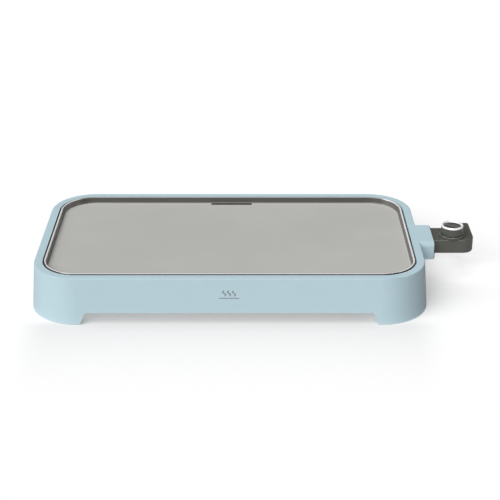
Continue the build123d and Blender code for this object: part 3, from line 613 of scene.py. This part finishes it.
def plate_coating(colours):
    """Ceramic coating over the casting.

    The floor is light with a fine fleck and soft clouds. The steep walls are darker, as painted shade,
    darkest at the back, and paler along the left, as painted light. The raised lip is rubbed bright, partly
    as bare metal and partly as a painted highlight, and is left dark at the back as painted shade. Its outer
    side is dark as painted shade in the gap, and the underside is bare as-cast metal.
    """
    material, tree, main = shader("plate_coating")
    where, normal = place_on(tree), facing_on(tree)
    place, lean = axes(tree, where), axes(tree, normal)["Z"]
    outward = leaning_out(tree, where, normal)
    steep = ramp(tree, lean, 0.985, 0.78)
    back_painted_shade = ramp(tree, place["Y"], PLATE_HIGH.y - 14 * MM, PLATE_HIGH.y - 7 * MM)
    left_painted_light = ramp(tree, place["X"], PLATE_LOW.x + 18 * MM, PLATE_LOW.x + 8 * MM)

    grains = use(tree, moulded_grain(), Scale=1100.0)
    floor = use(tree, tone_drift(), Color=rgba(colours.plate_floor), Amount=0.10, Scale=7.0)["Color"]
    dark_fleck = times(tree, grains["Fleck"], 0.16)
    pale_fleck = times(tree, ramp(tree, noise(tree, where, 2300.0, 1.0, 0.5), 0.64, 0.74), 0.20)
    floor = blend(tree, dark_fleck, floor, (0.22, 0.22, 0.21, 1.0))
    floor = blend(tree, pale_fleck, floor, (0.75, 0.75, 0.73, 1.0))
    # Painted shade: the steep walls take a far darker colour than the floor of the same coating.
    wall = use(tree, tone_drift(), Color=rgba(colours.plate_wall_shade), Amount=0.15, Scale=11.0)["Color"]
    coated = blend(tree, steep, floor, wall)
    # Painted shade: the back wall is darkened further towards black.
    coated = blend(tree, times(tree, times(tree, back_painted_shade, steep), 0.55), coated, (0.02, 0.02, 0.018, 1.0))
    # Painted light: the coating near the left is paler, thinning the left wall's shadow on the floor.
    coated = blend(tree, times(tree, left_painted_light, 0.14), coated, (0.75, 0.75, 0.72, 1.0))
    # Painted shade: the outer side of the steep wall is near black, as shade in the gap round the plate.
    gap_painted_shade = times(tree, ramp(tree, outward, 0.3, 0.7), steep)
    coated = blend(tree, times(tree, gap_painted_shade, 0.9), coated, (0.012, 0.012, 0.014, 1.0))

    # The lip's top is bright, partly as rubbed bare metal and partly as a painted highlight.
    high = ramp(tree, place["Z"], PLATE_HIGH.z - 1.3 * MM, PLATE_HIGH.z - 0.7 * MM)
    level = ramp(tree, calc(tree, "MULTIPLY_ADD", outward, -0.8, lean), 0.25, 0.6)
    # Painted shade: the lip's bright top is taken away at the back.
    rubbed = times(tree, times(tree, high, level), calc(tree, "MULTIPLY_ADD", back_painted_shade, -0.9, 1.0))
    lip = blend(tree, rubbed, coated, rgba(colours.plate_lip))
    under = ramp(tree, lean, -0.2, -0.6)
    cast = use(tree, tone_drift(), Color=(0.42, 0.41, 0.40, 1.0), Amount=0.25, Scale=30.0)["Color"]
    feed(tree, blend(tree, under, lip, cast), main.inputs["Base Color"])
    bare = calc(tree, "MAXIMUM", under, times(tree, rubbed, 0.36))
    feed(tree, calc(tree, "MULTIPLY_ADD", bare, 0.75, 0.12), main.inputs["Metallic"])
    touched = use(tree, handling(), Roughness=0.46, Amount=0.16, Scale=11.0)
    feed(tree, calc(tree, "MULTIPLY_ADD", bare, -0.10, touched["Roughness"]), main.inputs["Roughness"])
    relief(tree, main, grains["Height"], 0.03 * MM)
    main.inputs["Specular IOR Level"].default_value = 0.5
    return material


def shield_sheet():
    """Mill-finish aluminium with rolling lines and a warm heat tint towards the middle."""
    rolled_along_x = (40.0, 1500.0, 1500.0)
    material = metal("shield_aluminium", (0.62, 0.63, 0.64), 0.30, rolled_along_x, 0.008 * MM, 0.10)
    tree = material.node_tree
    main = tree.nodes["Principled BSDF"]
    bare = main.inputs["Base Color"].links[0].from_socket
    drift = noise(tree, place_on(tree), 5.0, 3.0, 0.6)
    tint = times(tree, ramp(tree, drift, 0.42, 0.66), 0.22)
    feed(tree, blend(tree, tint, bare, (0.42, 0.33, 0.22, 1.0)), main.inputs["Base Color"])
    return material


def ink(name, colour):
    """Printed ink, slightly worn."""
    material, tree, main = shader(name)
    thin = ramp(tree, noise(tree, place_on(tree), 1900.0, 3.0, 0.7), 0.55, 0.75)
    faded = blend(tree, times(tree, thin, 0.25), rgba(colour), grey(0.12))
    feed(tree, faded, main.inputs["Base Color"])
    feed(tree, calc(tree, "MULTIPLY_ADD", thin, 0.2, 0.5), main.inputs["Roughness"])
    return material


def dress(material, *names):
    """Gives CAD nodes a material."""
    for name in names:
        slots = NODES[name].data.materials
        if len(slots) == 0:
            slots.append(material)
        for number in range(len(slots)):
            slots[number] = material


def settle(piece, body, material):
    """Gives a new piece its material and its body."""
    piece.data.materials.append(material)
    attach(piece, body)
    return piece


# ---- Pieces ----
class GRIDDLE_OT_base(bpy.types.Operator):
    """Finish the moulded base, and add its front emblem and the ribbed rubber pads."""

    bl_idname = "griddle.base"
    bl_label = "Base"

    def execute(self, context):
        """Dresses the base and builds the emblem and pads."""
        colours, sizes = context.scene.griddle_colours, context.scene.griddle_sizes
        grained = {"grain": 1700.0, "depth": 0.012 * MM, "gloss": 0.3}
        # turn paints shade on the rim's rounded turn, to dull its highlight.
        toned = {"drift": 0.035, "edge": 0.06, "turn": 0.18}
        dress(plastic("base_plastic", colours.base, 0.52, **grained, **toned), "base_housing")
        dress(plastic("liner_plastic", (0.042, 0.042, 0.036), 0.5), "hood_liner")
        self.emblem(colours, sizes)
        self.pads(sizes)
        return {"FINISHED"}

    def emblem(self, colours, sizes):
        """Three rising waves over a short bar, as half-round beads on the leaning front.

        A wave climbs from its foot to the top of the mark and swings sideways by one turn of a sine.
        """
        width, height = sizes.emblem_width, sizes.emblem_height
        foot, sway, spacing, proud = 0.30, 0.075, 0.24, 0.35 * MM
        low = hit("base_housing", (PLATE_X, -1, sizes.emblem_z - height / 2), (0, 1, 0))
        high = hit("base_housing", (PLATE_X, -1, sizes.emblem_z + height / 2), (0, 1, 0))
        slope = (np.array(high) - np.array(low)) / height
        out = np.cross([1.0, 0.0, 0.0], slope)
        rise = np.linspace(foot, 1.0, 40)
        swing = sway * np.sin((rise - foot) / (1 - foot) * 2 * np.pi)
        strokes = []
        for place in (-1, 0, 1):
            path = np.array(low) + rise[:, None] * height * slope
            path[:, 0] = PLATE_X + width * (place * spacing + swing)
            strokes.append(bead("wave", path, out, 0.75 * MM, proud))
        bar = np.repeat(np.array(low)[None], 30, 0)
        bar[:, 0] = PLATE_X + np.linspace(-0.5, 0.5, 30) * width
        strokes.append(bead("bar", bar, out, 0.6 * MM, proud))
        piece = face_outwards(join("front_emblem", strokes))
        settle(piece, "base", ink("emblem_ink", colours.emblem))

    def pads(self, sizes):
        """Four turned pads whose soles have concentric rings.

        The depth of the sole is a cosine of the radius, stretched and cut off, so that its ridges are flat.
        """
        low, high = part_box("foot_pads")
        radius, core, heel, pitch = 12.95 * MM, 0.4 * MM, 0.8 * MM, 2.84 * MM
        r = np.linspace(core, radius - 1.5 * heel, 60)
        wave = 0.5 - 0.5 * np.cos(2 * np.pi * (r - core) / pitch)
        sole = np.stack([r, sizes.tread_depth * np.clip(wave * 1.8 - 0.4, 0, 1)], axis=-1)
        turn = np.linspace(0, np.pi / 2, 7)
        edge = np.stack([radius - heel + heel * np.sin(turn), heel * (1 - np.cos(turn))], axis=-1)
        top = np.array([[radius, high.z], [core, high.z]])
        profile = np.concatenate([sole, edge, top])
        pads = []
        for x in (low.x + radius, high.x - radius):
            for y in (low.y + radius, high.y - radius):
                pads.append(lathe("pad", profile, (x, y, 0)))
        piece = face_outwards(join("foot_pads_ribbed", pads))
        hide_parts("foot_pads")
        settle(piece, "base", rubber("foot_rubber", (0.047, 0.048, 0.049)))


class GRIDDLE_OT_plate(bpy.types.Operator):
    """Finish the cooking plate and the parts of the heater that are fixed to it."""

    bl_idname = "griddle.plate"
    bl_label = "Cooking plate"

    def execute(self, context):
        """Dresses the plate and heater."""
        dress(plate_coating(context.scene.griddle_colours), "griddle_plate")
        sheath = metal("heater_sheath", (0.20, 0.18, 0.16), 0.45, even(800.0), tarnish=0.5)
        dress(sheath, "heating_element")
        dress(metal("pin_metal", (0.62, 0.60, 0.56), 0.18), "terminal_pins")
        dress(fired_ceramic("white_ceramic", (0.72, 0.68, 0.60)), "pin_insulators", "plate_spacers")
        dress(metal("bracket_steel", (0.50, 0.50, 0.51), 0.34), "terminal_bracket")
        dress(metal("rivet_aluminium", (0.66, 0.66, 0.67), 0.36, even(1400.0)), "bracket_rivets")
        return {"FINISHED"}


class GRIDDLE_OT_structure(bpy.types.Operator):
    """Finish the braces, shield, rails and screws, and press stiffening beads into the shield."""

    bl_idname = "griddle.structure"
    bl_label = "Inner structure"

    def execute(self, context):
        """Dresses the structure and builds the beads."""
        rolled_along_y = (900.0, 60.0, 900.0)
        zinc = metal("zinc_steel", (0.54, 0.55, 0.56), 0.36, rolled_along_y, tarnish=0.2)
        dress(zinc, "brace_left", "brace_right", "shield_standoffs", "tray_rail_left", "tray_rail_right")
        screw = metal("screw_steel", (0.46, 0.46, 0.45), 0.26, even(1500.0))
        dress(screw, "brace_screws", "plate_screws", "shield_screws", "rail_screws")
        sheet = shield_sheet()
        dress(sheet, "heat_shield")
        self.beads(context.scene.griddle_sizes, sheet)
        return {"FINISHED"}

    def beads(self, sizes, sheet):
        """A bead round the shield's floor and short cross beads, on its underside."""
        middle, half = (SHIELD_LOW + SHIELD_HIGH) / 2, (SHIELD_HIGH - SHIELD_LOW) / 2
        inset, corner, half_width, down = 26 * MM, 34 * MM, 3 * MM, (0, 0, -1)
        loop = rounded_loop(half.x - inset, half.y - inset, corner)
        level = np.full(len(loop), SHIELD_LOW.z)
        path = np.column_stack([middle.x + loop[:, 0], middle.y + loop[:, 1], level])
        beads = [bead("loop", path, down, half_width, sizes.bead_height, closed=True)]
        run = np.linspace(-76 * MM, 34 * MM, 40)
        for x in middle.x + np.linspace(-110, 110, 6) * MM:
            line = np.column_stack([np.full(40, x), run, np.full(40, SHIELD_LOW.z)])
            beads.append(bead("cross", line, down, half_width, sizes.bead_height))
        piece = face_outwards(join("shield_beads", beads))
        settle(piece, "base", sheet)


class GRIDDLE_OT_tray(bpy.types.Operator):
    """Finish the drip tray and add the grip ribs on its panel."""

    bl_idname = "griddle.tray"
    bl_label = "Drip tray"

    def execute(self, context):
        """Dresses the tray and builds the ribs."""
        finish = plastic("tray_plastic", (0.052, 0.052, 0.046), 0.46, 1300.0, 0.025 * MM)
        dress(finish, "drip_tray")
        half_length = 38 * MM
        ribs = []
        for z in (25 * MM, 29.5 * MM, 34 * MM):
            place = np.array(hit("drip_tray", (PLATE_X, 1, z), (0, -1, 0)))
            path = np.repeat(place[None], 60, 0)
            path[:, 0] = PLATE_X + np.linspace(-half_length, half_length, 60)
            ribs.append(bead("rib", path, (0, 1, 0.08), 1.1 * MM, 0.9 * MM))
        settle(face_outwards(join("tray_grip_ribs", ribs)), "tray", finish)
        return {"FINISHED"}


class GRIDDLE_OT_control(bpy.types.Operator):
    """Finish the plug-in control and what is inside it, and build its ribbed gland."""

    bl_idname = "griddle.control"
    bl_label = "Plug-in control"

    def execute(self, context):
        """Dresses the control and builds the gland and the pointer."""
        casing = plastic("control_plastic", context.scene.griddle_colours.control, 0.44, edge=0.08)
        dress(casing, "control_upper_shell", "control_lower_shell")
        dress(metal("black_screw", (0.05, 0.05, 0.05), 0.4, even(1500.0)), "control_screws")
        dress(metal("probe_steel", (0.56, 0.56, 0.55), 0.24), "probe")
        dress(plastic("block_plastic", (0.11, 0.055, 0.03), 0.5), "terminal_block")
        dress(metal("sleeve_brass", (0.61, 0.46, 0.20), 0.26), "contact_sleeves")
        dress(metal("frame_steel", (0.50, 0.50, 0.51), 0.34), "thermostat_frame")
        dress(fired_ceramic("leaf_ceramic", (0.70, 0.66, 0.58)), "leaf_insulators")
        dress(metal("leaf_bronze", (0.52, 0.27, 0.11), 0.28), "fixed_contact_leaf", "moving_contact_leaf")
        dress(tinted_glass("lens_amber", (0.75, 0.10, 0.02)), "indicator_lens")
        dress(tinted_glass("lamp_glass", (0.85, 0.72, 0.62)), "indicator_lamp")
        self.gland()
        self.pointer(casing, context.scene.griddle_sizes)
        return {"FINISHED"}

    def gland(self):
        """A bush with a flange and the lead's bore, whose radius dips by a cosine along its length."""
        low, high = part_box("cord_gland")
        middle = (low + high) / 2
        flange, sleeve, bore = (high.x - low.x) / 2, 6.0 * MM, 3.75 * MM
        dip, pitch = 0.55 * MM, 1.8 * MM
        step = low.y + 2.6 * MM
        y = np.linspace(step + 2.4 * MM, high.y - 0.8 * MM, 60)
        ring = sleeve - dip * (0.5 - 0.5 * np.cos(2 * np.pi * (y - y[0]) / pitch))
        outer = np.column_stack([ring, y])
        nose = np.array([[sleeve - 0.6 * MM, high.y - 0.2 * MM], [sleeve - 1.1 * MM, high.y]])
        inner = np.array([[bore + 0.35 * MM, high.y], [bore, high.y - 0.4 * MM], [bore, low.y]])
        base = np.array([[flange, low.y], [flange, step], [sleeve, step]])
        profile = np.concatenate([base, outer, nose, inner])
        piece = face_outwards(lathe("gland_ribbed", profile, (middle.x, 0, middle.z), axis="Y", steps=56))
        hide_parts("cord_gland")
        settle(piece, "control", rubber("gland_rubber", (0.034, 0.034, 0.034)))

    def pointer(self, casing, sizes):
        """A raised drop-shaped mark on the casing beside the dial.

        Its half width is a power of a sine of the way along, thinned towards the dial.
        """
        gap, length, half_width, sunk = 3.4 * MM, 2.8 * MM, 1.0 * MM, 0.05 * MM
        start = SKIRT_LOW.x - gap
        top = hit("control_upper_shell", (start, DIAL_Y, 1), (0, 0, -1)).z
        along = np.linspace(0, 1, 24)
        half = half_width * np.sin(np.pi * np.clip(along, 0.02, 0.98)) ** 0.6 * (1 - 0.62 * along)
        x, proud = start + along * length, top + 4 * sizes.mark_height
        corners = ((1, top - sunk), (1, proud), (-1, proud), (-1, top - sunk))
        edges = [np.column_stack([x, DIAL_Y + side * half, np.full(24, z)]) for side, z in corners]
        piece = surface("dial_pointer", np.stack(edges, axis=1), close_v=True, cap_start=True, cap_end=True)
        settle(face_outwards(piece), "control", casing)


class GRIDDLE_OT_dial(bpy.types.Operator):
    """Finish the dial and print its marks and numbers on the skirt."""

    bl_idname = "griddle.dial"
    bl_label = "Dial"

    def execute(self, context):
        """Dresses the dial and builds its marks."""
        colours, sizes = context.scene.griddle_colours, context.scene.griddle_sizes
        dress(plastic("dial_plastic", colours.knob, 0.42, 1700.0, 0.012 * MM, 0.04, 0.16), "dial_skirt")
        dress(plastic("knob_plastic", colours.knob, 0.34, 2100.0, 0.008 * MM, 0.04, 0.10), "knob")
        dress(self.chrome(), "knob_ring")
        dress(metal("shaft_brass", (0.55, 0.39, 0.14), 0.24, (2600.0, 2600.0, 60.0)), "dial_shaft")
        dress(metal("clip_steel", (0.10, 0.10, 0.105), 0.3), "shaft_circlip")
        self.marks(colours, sizes)
        return {"FINISHED"}

    def chrome(self):
        """Pale satin plating with faint polishing haze."""
        material, tree, main = shader("ring_chrome")
        touched = use(tree, handling(), Roughness=0.34, Amount=0.12, Scale=60.0)
        tone = use(tree, tone_drift(), Color=(0.93, 0.93, 0.92, 1.0), Amount=0.04, Scale=40.0)["Color"]
        feed(tree, tone, main.inputs["Base Color"])
        feed(tree, touched["Roughness"], main.inputs["Roughness"])
        main.inputs["Metallic"].default_value = 0.35
        return material

    def marks(self, colours, sizes):
        """Ticks and numbers laid on the sloping edge of the skirt.

        A flat mark at (a, b) goes to the angle a / radius round the dial and b out along the slope.
        """
        outer = (SKIRT_HIGH.x - SKIRT_LOW.x) / 2
        near, far = outer - 1.75 * MM, outer - 0.25 * MM  # the edge slopes between these radii
        z_near = hit("dial_skirt", (DIAL_X + near, DIAL_Y, 1), (0, 0, -1)).z
        z_far = hit("dial_skirt", (DIAL_X + far, DIAL_Y, 1), (0, 0, -1)).z
        slope = (z_far - z_near) / (far - near)

        def lay(flat, turn):
            """Carries flat points (across, out, proud) onto the slope at an angle round the dial."""
            radius = near + flat[:, 1]
            angle = turn - flat[:, 0] / (near + far) * 2
            z = z_near + slope * flat[:, 1] + flat[:, 2]
            return np.column_stack([DIAL_X + radius * np.cos(angle), DIAL_Y + radius * np.sin(angle), z])

        turns = np.radians(np.arange(180, 451, 11.25))
        labels = ("0", "200", "250", "300", "350", "400", "450")
        pieces = [self.tick(number, lay, turn, sizes) for number, turn in enumerate(turns) if number % 4]
        pieces += [self.number(label, lay, turn, sizes) for label, turn in zip(labels, turns[::4])]
        piece = face_outwards(join("dial_marks", pieces))
        settle(piece, "dial", ink("mark_ink", colours.marks))

    def tick(self, number, lay, turn, sizes):
        """A thin bar that points outwards; every other one is longer."""
        half, start, end, sunk = 0.13 * MM, (0.65 if number % 2 else 0.25) * MM, 1.25 * MM, 0.04 * MM
        corner = np.array([[-half, start], [half, start], [half, end], [-half, end]])
        levels = (-sunk, sizes.mark_height)
        rings = [lay(np.column_stack([corner, np.full(4, level)]), turn) for level in levels]
        return surface("tick", np.stack(rings), close_v=True, cap_start=True, cap_end=True)

    def number(self, label, lay, turn, sizes):
        """A number as a thin solid, centred on its place on the skirt, with its foot outwards."""
        baseline = 1.36 * MM
        curve = bpy.data.curves.new("number", "FONT")
        curve.body, curve.size, curve.align_x = label, 1.75 * MM, "CENTER"
        curve.extrude, curve.resolution_u, curve.space_character = 0.5 * sizes.mark_height, 3, 1.06
        text = bpy.data.objects.new("number", curve)
        bpy.context.scene.collection.objects.link(text)
        bpy.context.view_layer.update()
        mesh = bpy.data.meshes.new_from_object(text.evaluated_get(bpy.context.evaluated_depsgraph_get()))
        bpy.data.objects.remove(text)
        co = np.empty(len(mesh.vertices) * 3, np.float32)
        mesh.vertices.foreach_get("co", co)
        flat = co.reshape(-1, 3).astype(float)
        flat[:, 1] = baseline - flat[:, 1]
        flat[:, 0] *= -1
        flat[:, 2] += 0.45 * sizes.mark_height
        mesh.vertices.foreach_set("co", lay(flat, turn).astype(np.float32).ravel())
        piece = bpy.data.objects.new("number", mesh)
        bpy.context.scene.collection.objects.link(piece)
        return piece


# ---- Stage ----
class GRIDDLE_OT_stage(bpy.types.Operator):
    """Set up the pale floor, soft light and camera."""

    bl_idname = "griddle.stage"
    bl_label = "Stage"

    def execute(self, context):
        """Builds the floor, the lights, the sky and the camera."""
        studio = context.scene.griddle_studio
        self.floor(studio)
        self.light("key_light", (-0.37, -0.50, 0.78), studio.key, studio.key_width)
        self.sky(context.scene, studio)
        self.camera(context.scene, studio)
        return {"FINISHED"}

    def floor(self, studio):
        """A light table, whose glow lights only the underside, and which is clear from below.

        The sheet is level for six metres, and then its height grows with the fourth power of the distance.
        """
        reach = np.concatenate([[0.0], np.geomspace(0.3, 14.0, 48)])
        angle = np.linspace(0, 2 * np.pi, 96, endpoint=False)[:, None]
        rise = np.broadcast_to(0.0004 * np.clip(reach - 6.0, 0, None) ** 4, (len(angle), len(reach)))
        points = np.stack([reach * np.cos(angle), reach * np.sin(angle), rise], axis=-1)
        sheet = surface("studio_floor", points, close_u=True)
        material, tree, main = shader("studio_floor")
        tone = use(tree, tone_drift(), Color=grey(0.49), Amount=0.01, Scale=1.5)["Color"]
        feed(tree, tone, main.inputs["Base Color"])
        main.inputs["Emission Color"].default_value = grey(1.0)
        seen = tree.nodes.new("ShaderNodeLightPath").outputs["Is Camera Ray"]
        shown, under = self.glow(tree, studio)
        lit = times(tree, calc(tree, "SUBTRACT", 1.0, seen), under)
        feed(tree, calc(tree, "MULTIPLY_ADD", seen, shown, lit), main.inputs["Emission Strength"])
        main.inputs["Roughness"].default_value = 0.9
        main.inputs["Specular IOR Level"].default_value = 0.1
        below = tree.nodes.new("ShaderNodeNewGeometry").outputs["Backfacing"]
        clear = tree.nodes.new("ShaderNodeBsdfTransparent")
        either = tree.nodes.new("ShaderNodeMixShader")
        for value, socket in zip((below, main.outputs[0], clear.outputs[0]), either.inputs):
            feed(tree, value, socket)
        tree.links.new(either.outputs[0], tree.nodes["Material Output"].inputs["Surface"])
        sheet.data.materials.append(material)

    def glow(self, tree, studio):
        """Strength of the glow over the table: what the camera sees, and what lights the underside.

        The first falls off towards the base's footprint, by the exponential of the distance to it and most
        in front, as a painted shadow, and rises in a bell-shaped spot under the control, a painted light
        which thins the shadow there. The second comes from inside the footprint alone.
        """
        middle = Vector((PLATE_X, (HOUSING_HIGH.y + HOUSING_LOW.y) / 2, 0))
        corner, fade = 62 * MM, 75 * MM
        core = (middle.x - HOUSING_LOW.x - corner, middle.y - HOUSING_LOW.y - corner, 1.0)
        place = vector_calc(tree, "SUBTRACT", place_on(tree), middle)[0]
        past = vector_calc(tree, "SUBTRACT", vector_calc(tree, "ABSOLUTE", place)[0], core)[0]
        reach = vector_calc(tree, "LENGTH", vector_calc(tree, "MAXIMUM", past, (0, 0, 0))[0])["Value"]
        away = calc(tree, "MAXIMUM", calc(tree, "SUBTRACT", reach, corner), 0.0)
        near = calc(tree, "EXPONENT", times(tree, away, -1 / fade))

        parts = axes(tree, place)
        x, y = parts["X"], parts["Y"]
        ends = ramp(tree, calc(tree, "ABSOLUTE", x), 305 * MM, 245 * MM, 0.0, 0.23)
        front = times(tree, ends, ramp(tree, y, -135 * MM, -165 * MM))
        right = times(tree, ramp(tree, x, 240 * MM, 300 * MM), self.bell(tree, y, -50 * MM, 45 * MM))
        side = calc(tree, "MULTIPLY_ADD", right, 0.10, 0.04)
        # Painted shadow on the table round the base, strongest in front and on the right.
        painted_floor_shadow = times(tree, near, calc(tree, "ADD", front, side))
        spot = times(tree, self.bell(tree, x, 330 * MM, 60 * MM), self.bell(tree, y, 30 * MM, 42 * MM))
        shown = calc(tree, "MULTIPLY_ADD", spot, 0.42, calc(tree, "SUBTRACT", studio.table_glow, painted_floor_shadow))
        return shown, ramp(tree, near, 0.94, 1.0, 0.0, 0.5)

    def bell(self, tree, place, centre, spread):
        """A bell curve, 1 at centre: the exponential of minus the square of the offset over the spread."""
        offset = calc(tree, "DIVIDE", calc(tree, "SUBTRACT", place, centre), spread)
        return calc(tree, "EXPONENT", times(tree, times(tree, offset, offset), -1.0))

    def light(self, name, towards, strength, width):
        """A soft light from a wide part of the sky, in the direction it comes from."""
        lamp = bpy.data.lights.new(name, "SUN")
        lamp.energy = strength
        lamp.angle = width
        holder = bpy.data.objects.new(name, lamp)
        holder.rotation_mode = "QUATERNION"
        holder.rotation_quaternion = Vector(towards).to_track_quat("Z", "Y")
        bpy.context.scene.collection.objects.link(holder)

    def sky(self, scene, studio):
        """Even pale light from all round; the backdrop itself shows white."""
        world = bpy.data.worlds.new("studio_sky")
        world.use_nodes = True
        tree = world.node_tree
        tree.nodes.clear()
        lit = add(tree, "ShaderNodeBackground", None, Color=grey(1.0), Strength=studio.sky)
        seen = add(tree, "ShaderNodeBackground", None, Color=grey(1.0), Strength=1.0)
        path = tree.nodes.new("ShaderNodeLightPath")
        both = tree.nodes.new("ShaderNodeMixShader")
        tree.links.new(path.outputs["Is Camera Ray"], both.inputs[0])
        tree.links.new(lit.outputs[0], both.inputs[1])
        tree.links.new(seen.outputs[0], both.inputs[2])
        out = tree.nodes.new("ShaderNodeOutputWorld")
        tree.links.new(both.outputs[0], out.inputs["Surface"])
        scene.world = world
        scene.view_settings.view_transform = "Standard"
        scene.view_settings.look = "None"

    def camera(self, scene, studio):
        """The camera stands in front, a little right of the plate's middle, and looks down at it."""
        right, back, up = 28.5 * MM, 1737.9 * MM, 836.4 * MM
        lens = bpy.data.cameras.new("view_camera")
        lens.lens, lens.sensor_width = studio.lens, 36.0
        lens.clip_start, lens.clip_end = 0.05, 60.0
        holder = bpy.data.objects.new("view_camera", lens)
        holder.location = (PLATE_X + right, -back, up)
        holder.rotation_euler = (math.pi / 2 - studio.pitch, 0.0, 0.0)
        scene.collection.objects.link(holder)
        scene.camera = holder


class GRIDDLE_PT_panel(bpy.types.Panel):
    """The griddle's pieces, sizes and colours."""

    bl_idname = "GRIDDLE_PT_panel"
    bl_label = "Griddle"
    bl_space_type = "VIEW_3D"
    bl_region_type = "UI"
    bl_category = "Griddle"

    def draw(self, context):
        """Lists the operators, then every size, colour and light."""
        for operator in OPERATORS:
            self.layout.operator(operator.bl_idname)
        for settings in ("griddle_sizes", "griddle_colours", "griddle_studio"):
            box = self.layout.box()
            chosen = getattr(context.scene, settings)
            for name in chosen.__annotations__:
                box.prop(chosen, name)


OPERATORS = (
    GRIDDLE_OT_stage,
    GRIDDLE_OT_base,
    GRIDDLE_OT_plate,
    GRIDDLE_OT_structure,
    GRIDDLE_OT_tray,
    GRIDDLE_OT_control,
    GRIDDLE_OT_dial,
)
SETTINGS = {
    "griddle_colours": GriddleColours,
    "griddle_sizes": GriddleSizes,
    "griddle_studio": GriddleStudio,
}


def register():
    """Adds the classes and the scene's settings."""
    for name, kind in SETTINGS.items():
        bpy.utils.register_class(kind)
        setattr(bpy.types.Scene, name, PointerProperty(type=kind))
    for kind in (*OPERATORS, GRIDDLE_PT_panel):
        bpy.utils.register_class(kind)


def unregister():
    """Takes them away again."""
    for kind in (GRIDDLE_PT_panel, *reversed(OPERATORS)):
        bpy.utils.unregister_class(kind)
    for name, kind in SETTINGS.items():
        delattr(bpy.types.Scene, name)
        bpy.utils.unregister_class(kind)


def main():
    """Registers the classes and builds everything."""
    register()
    for operator in OPERATORS:
        section, name = operator.bl_idname.split(".")
        getattr(getattr(bpy.ops, section), name)()
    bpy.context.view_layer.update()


if __name__ == "__main__":
    main()
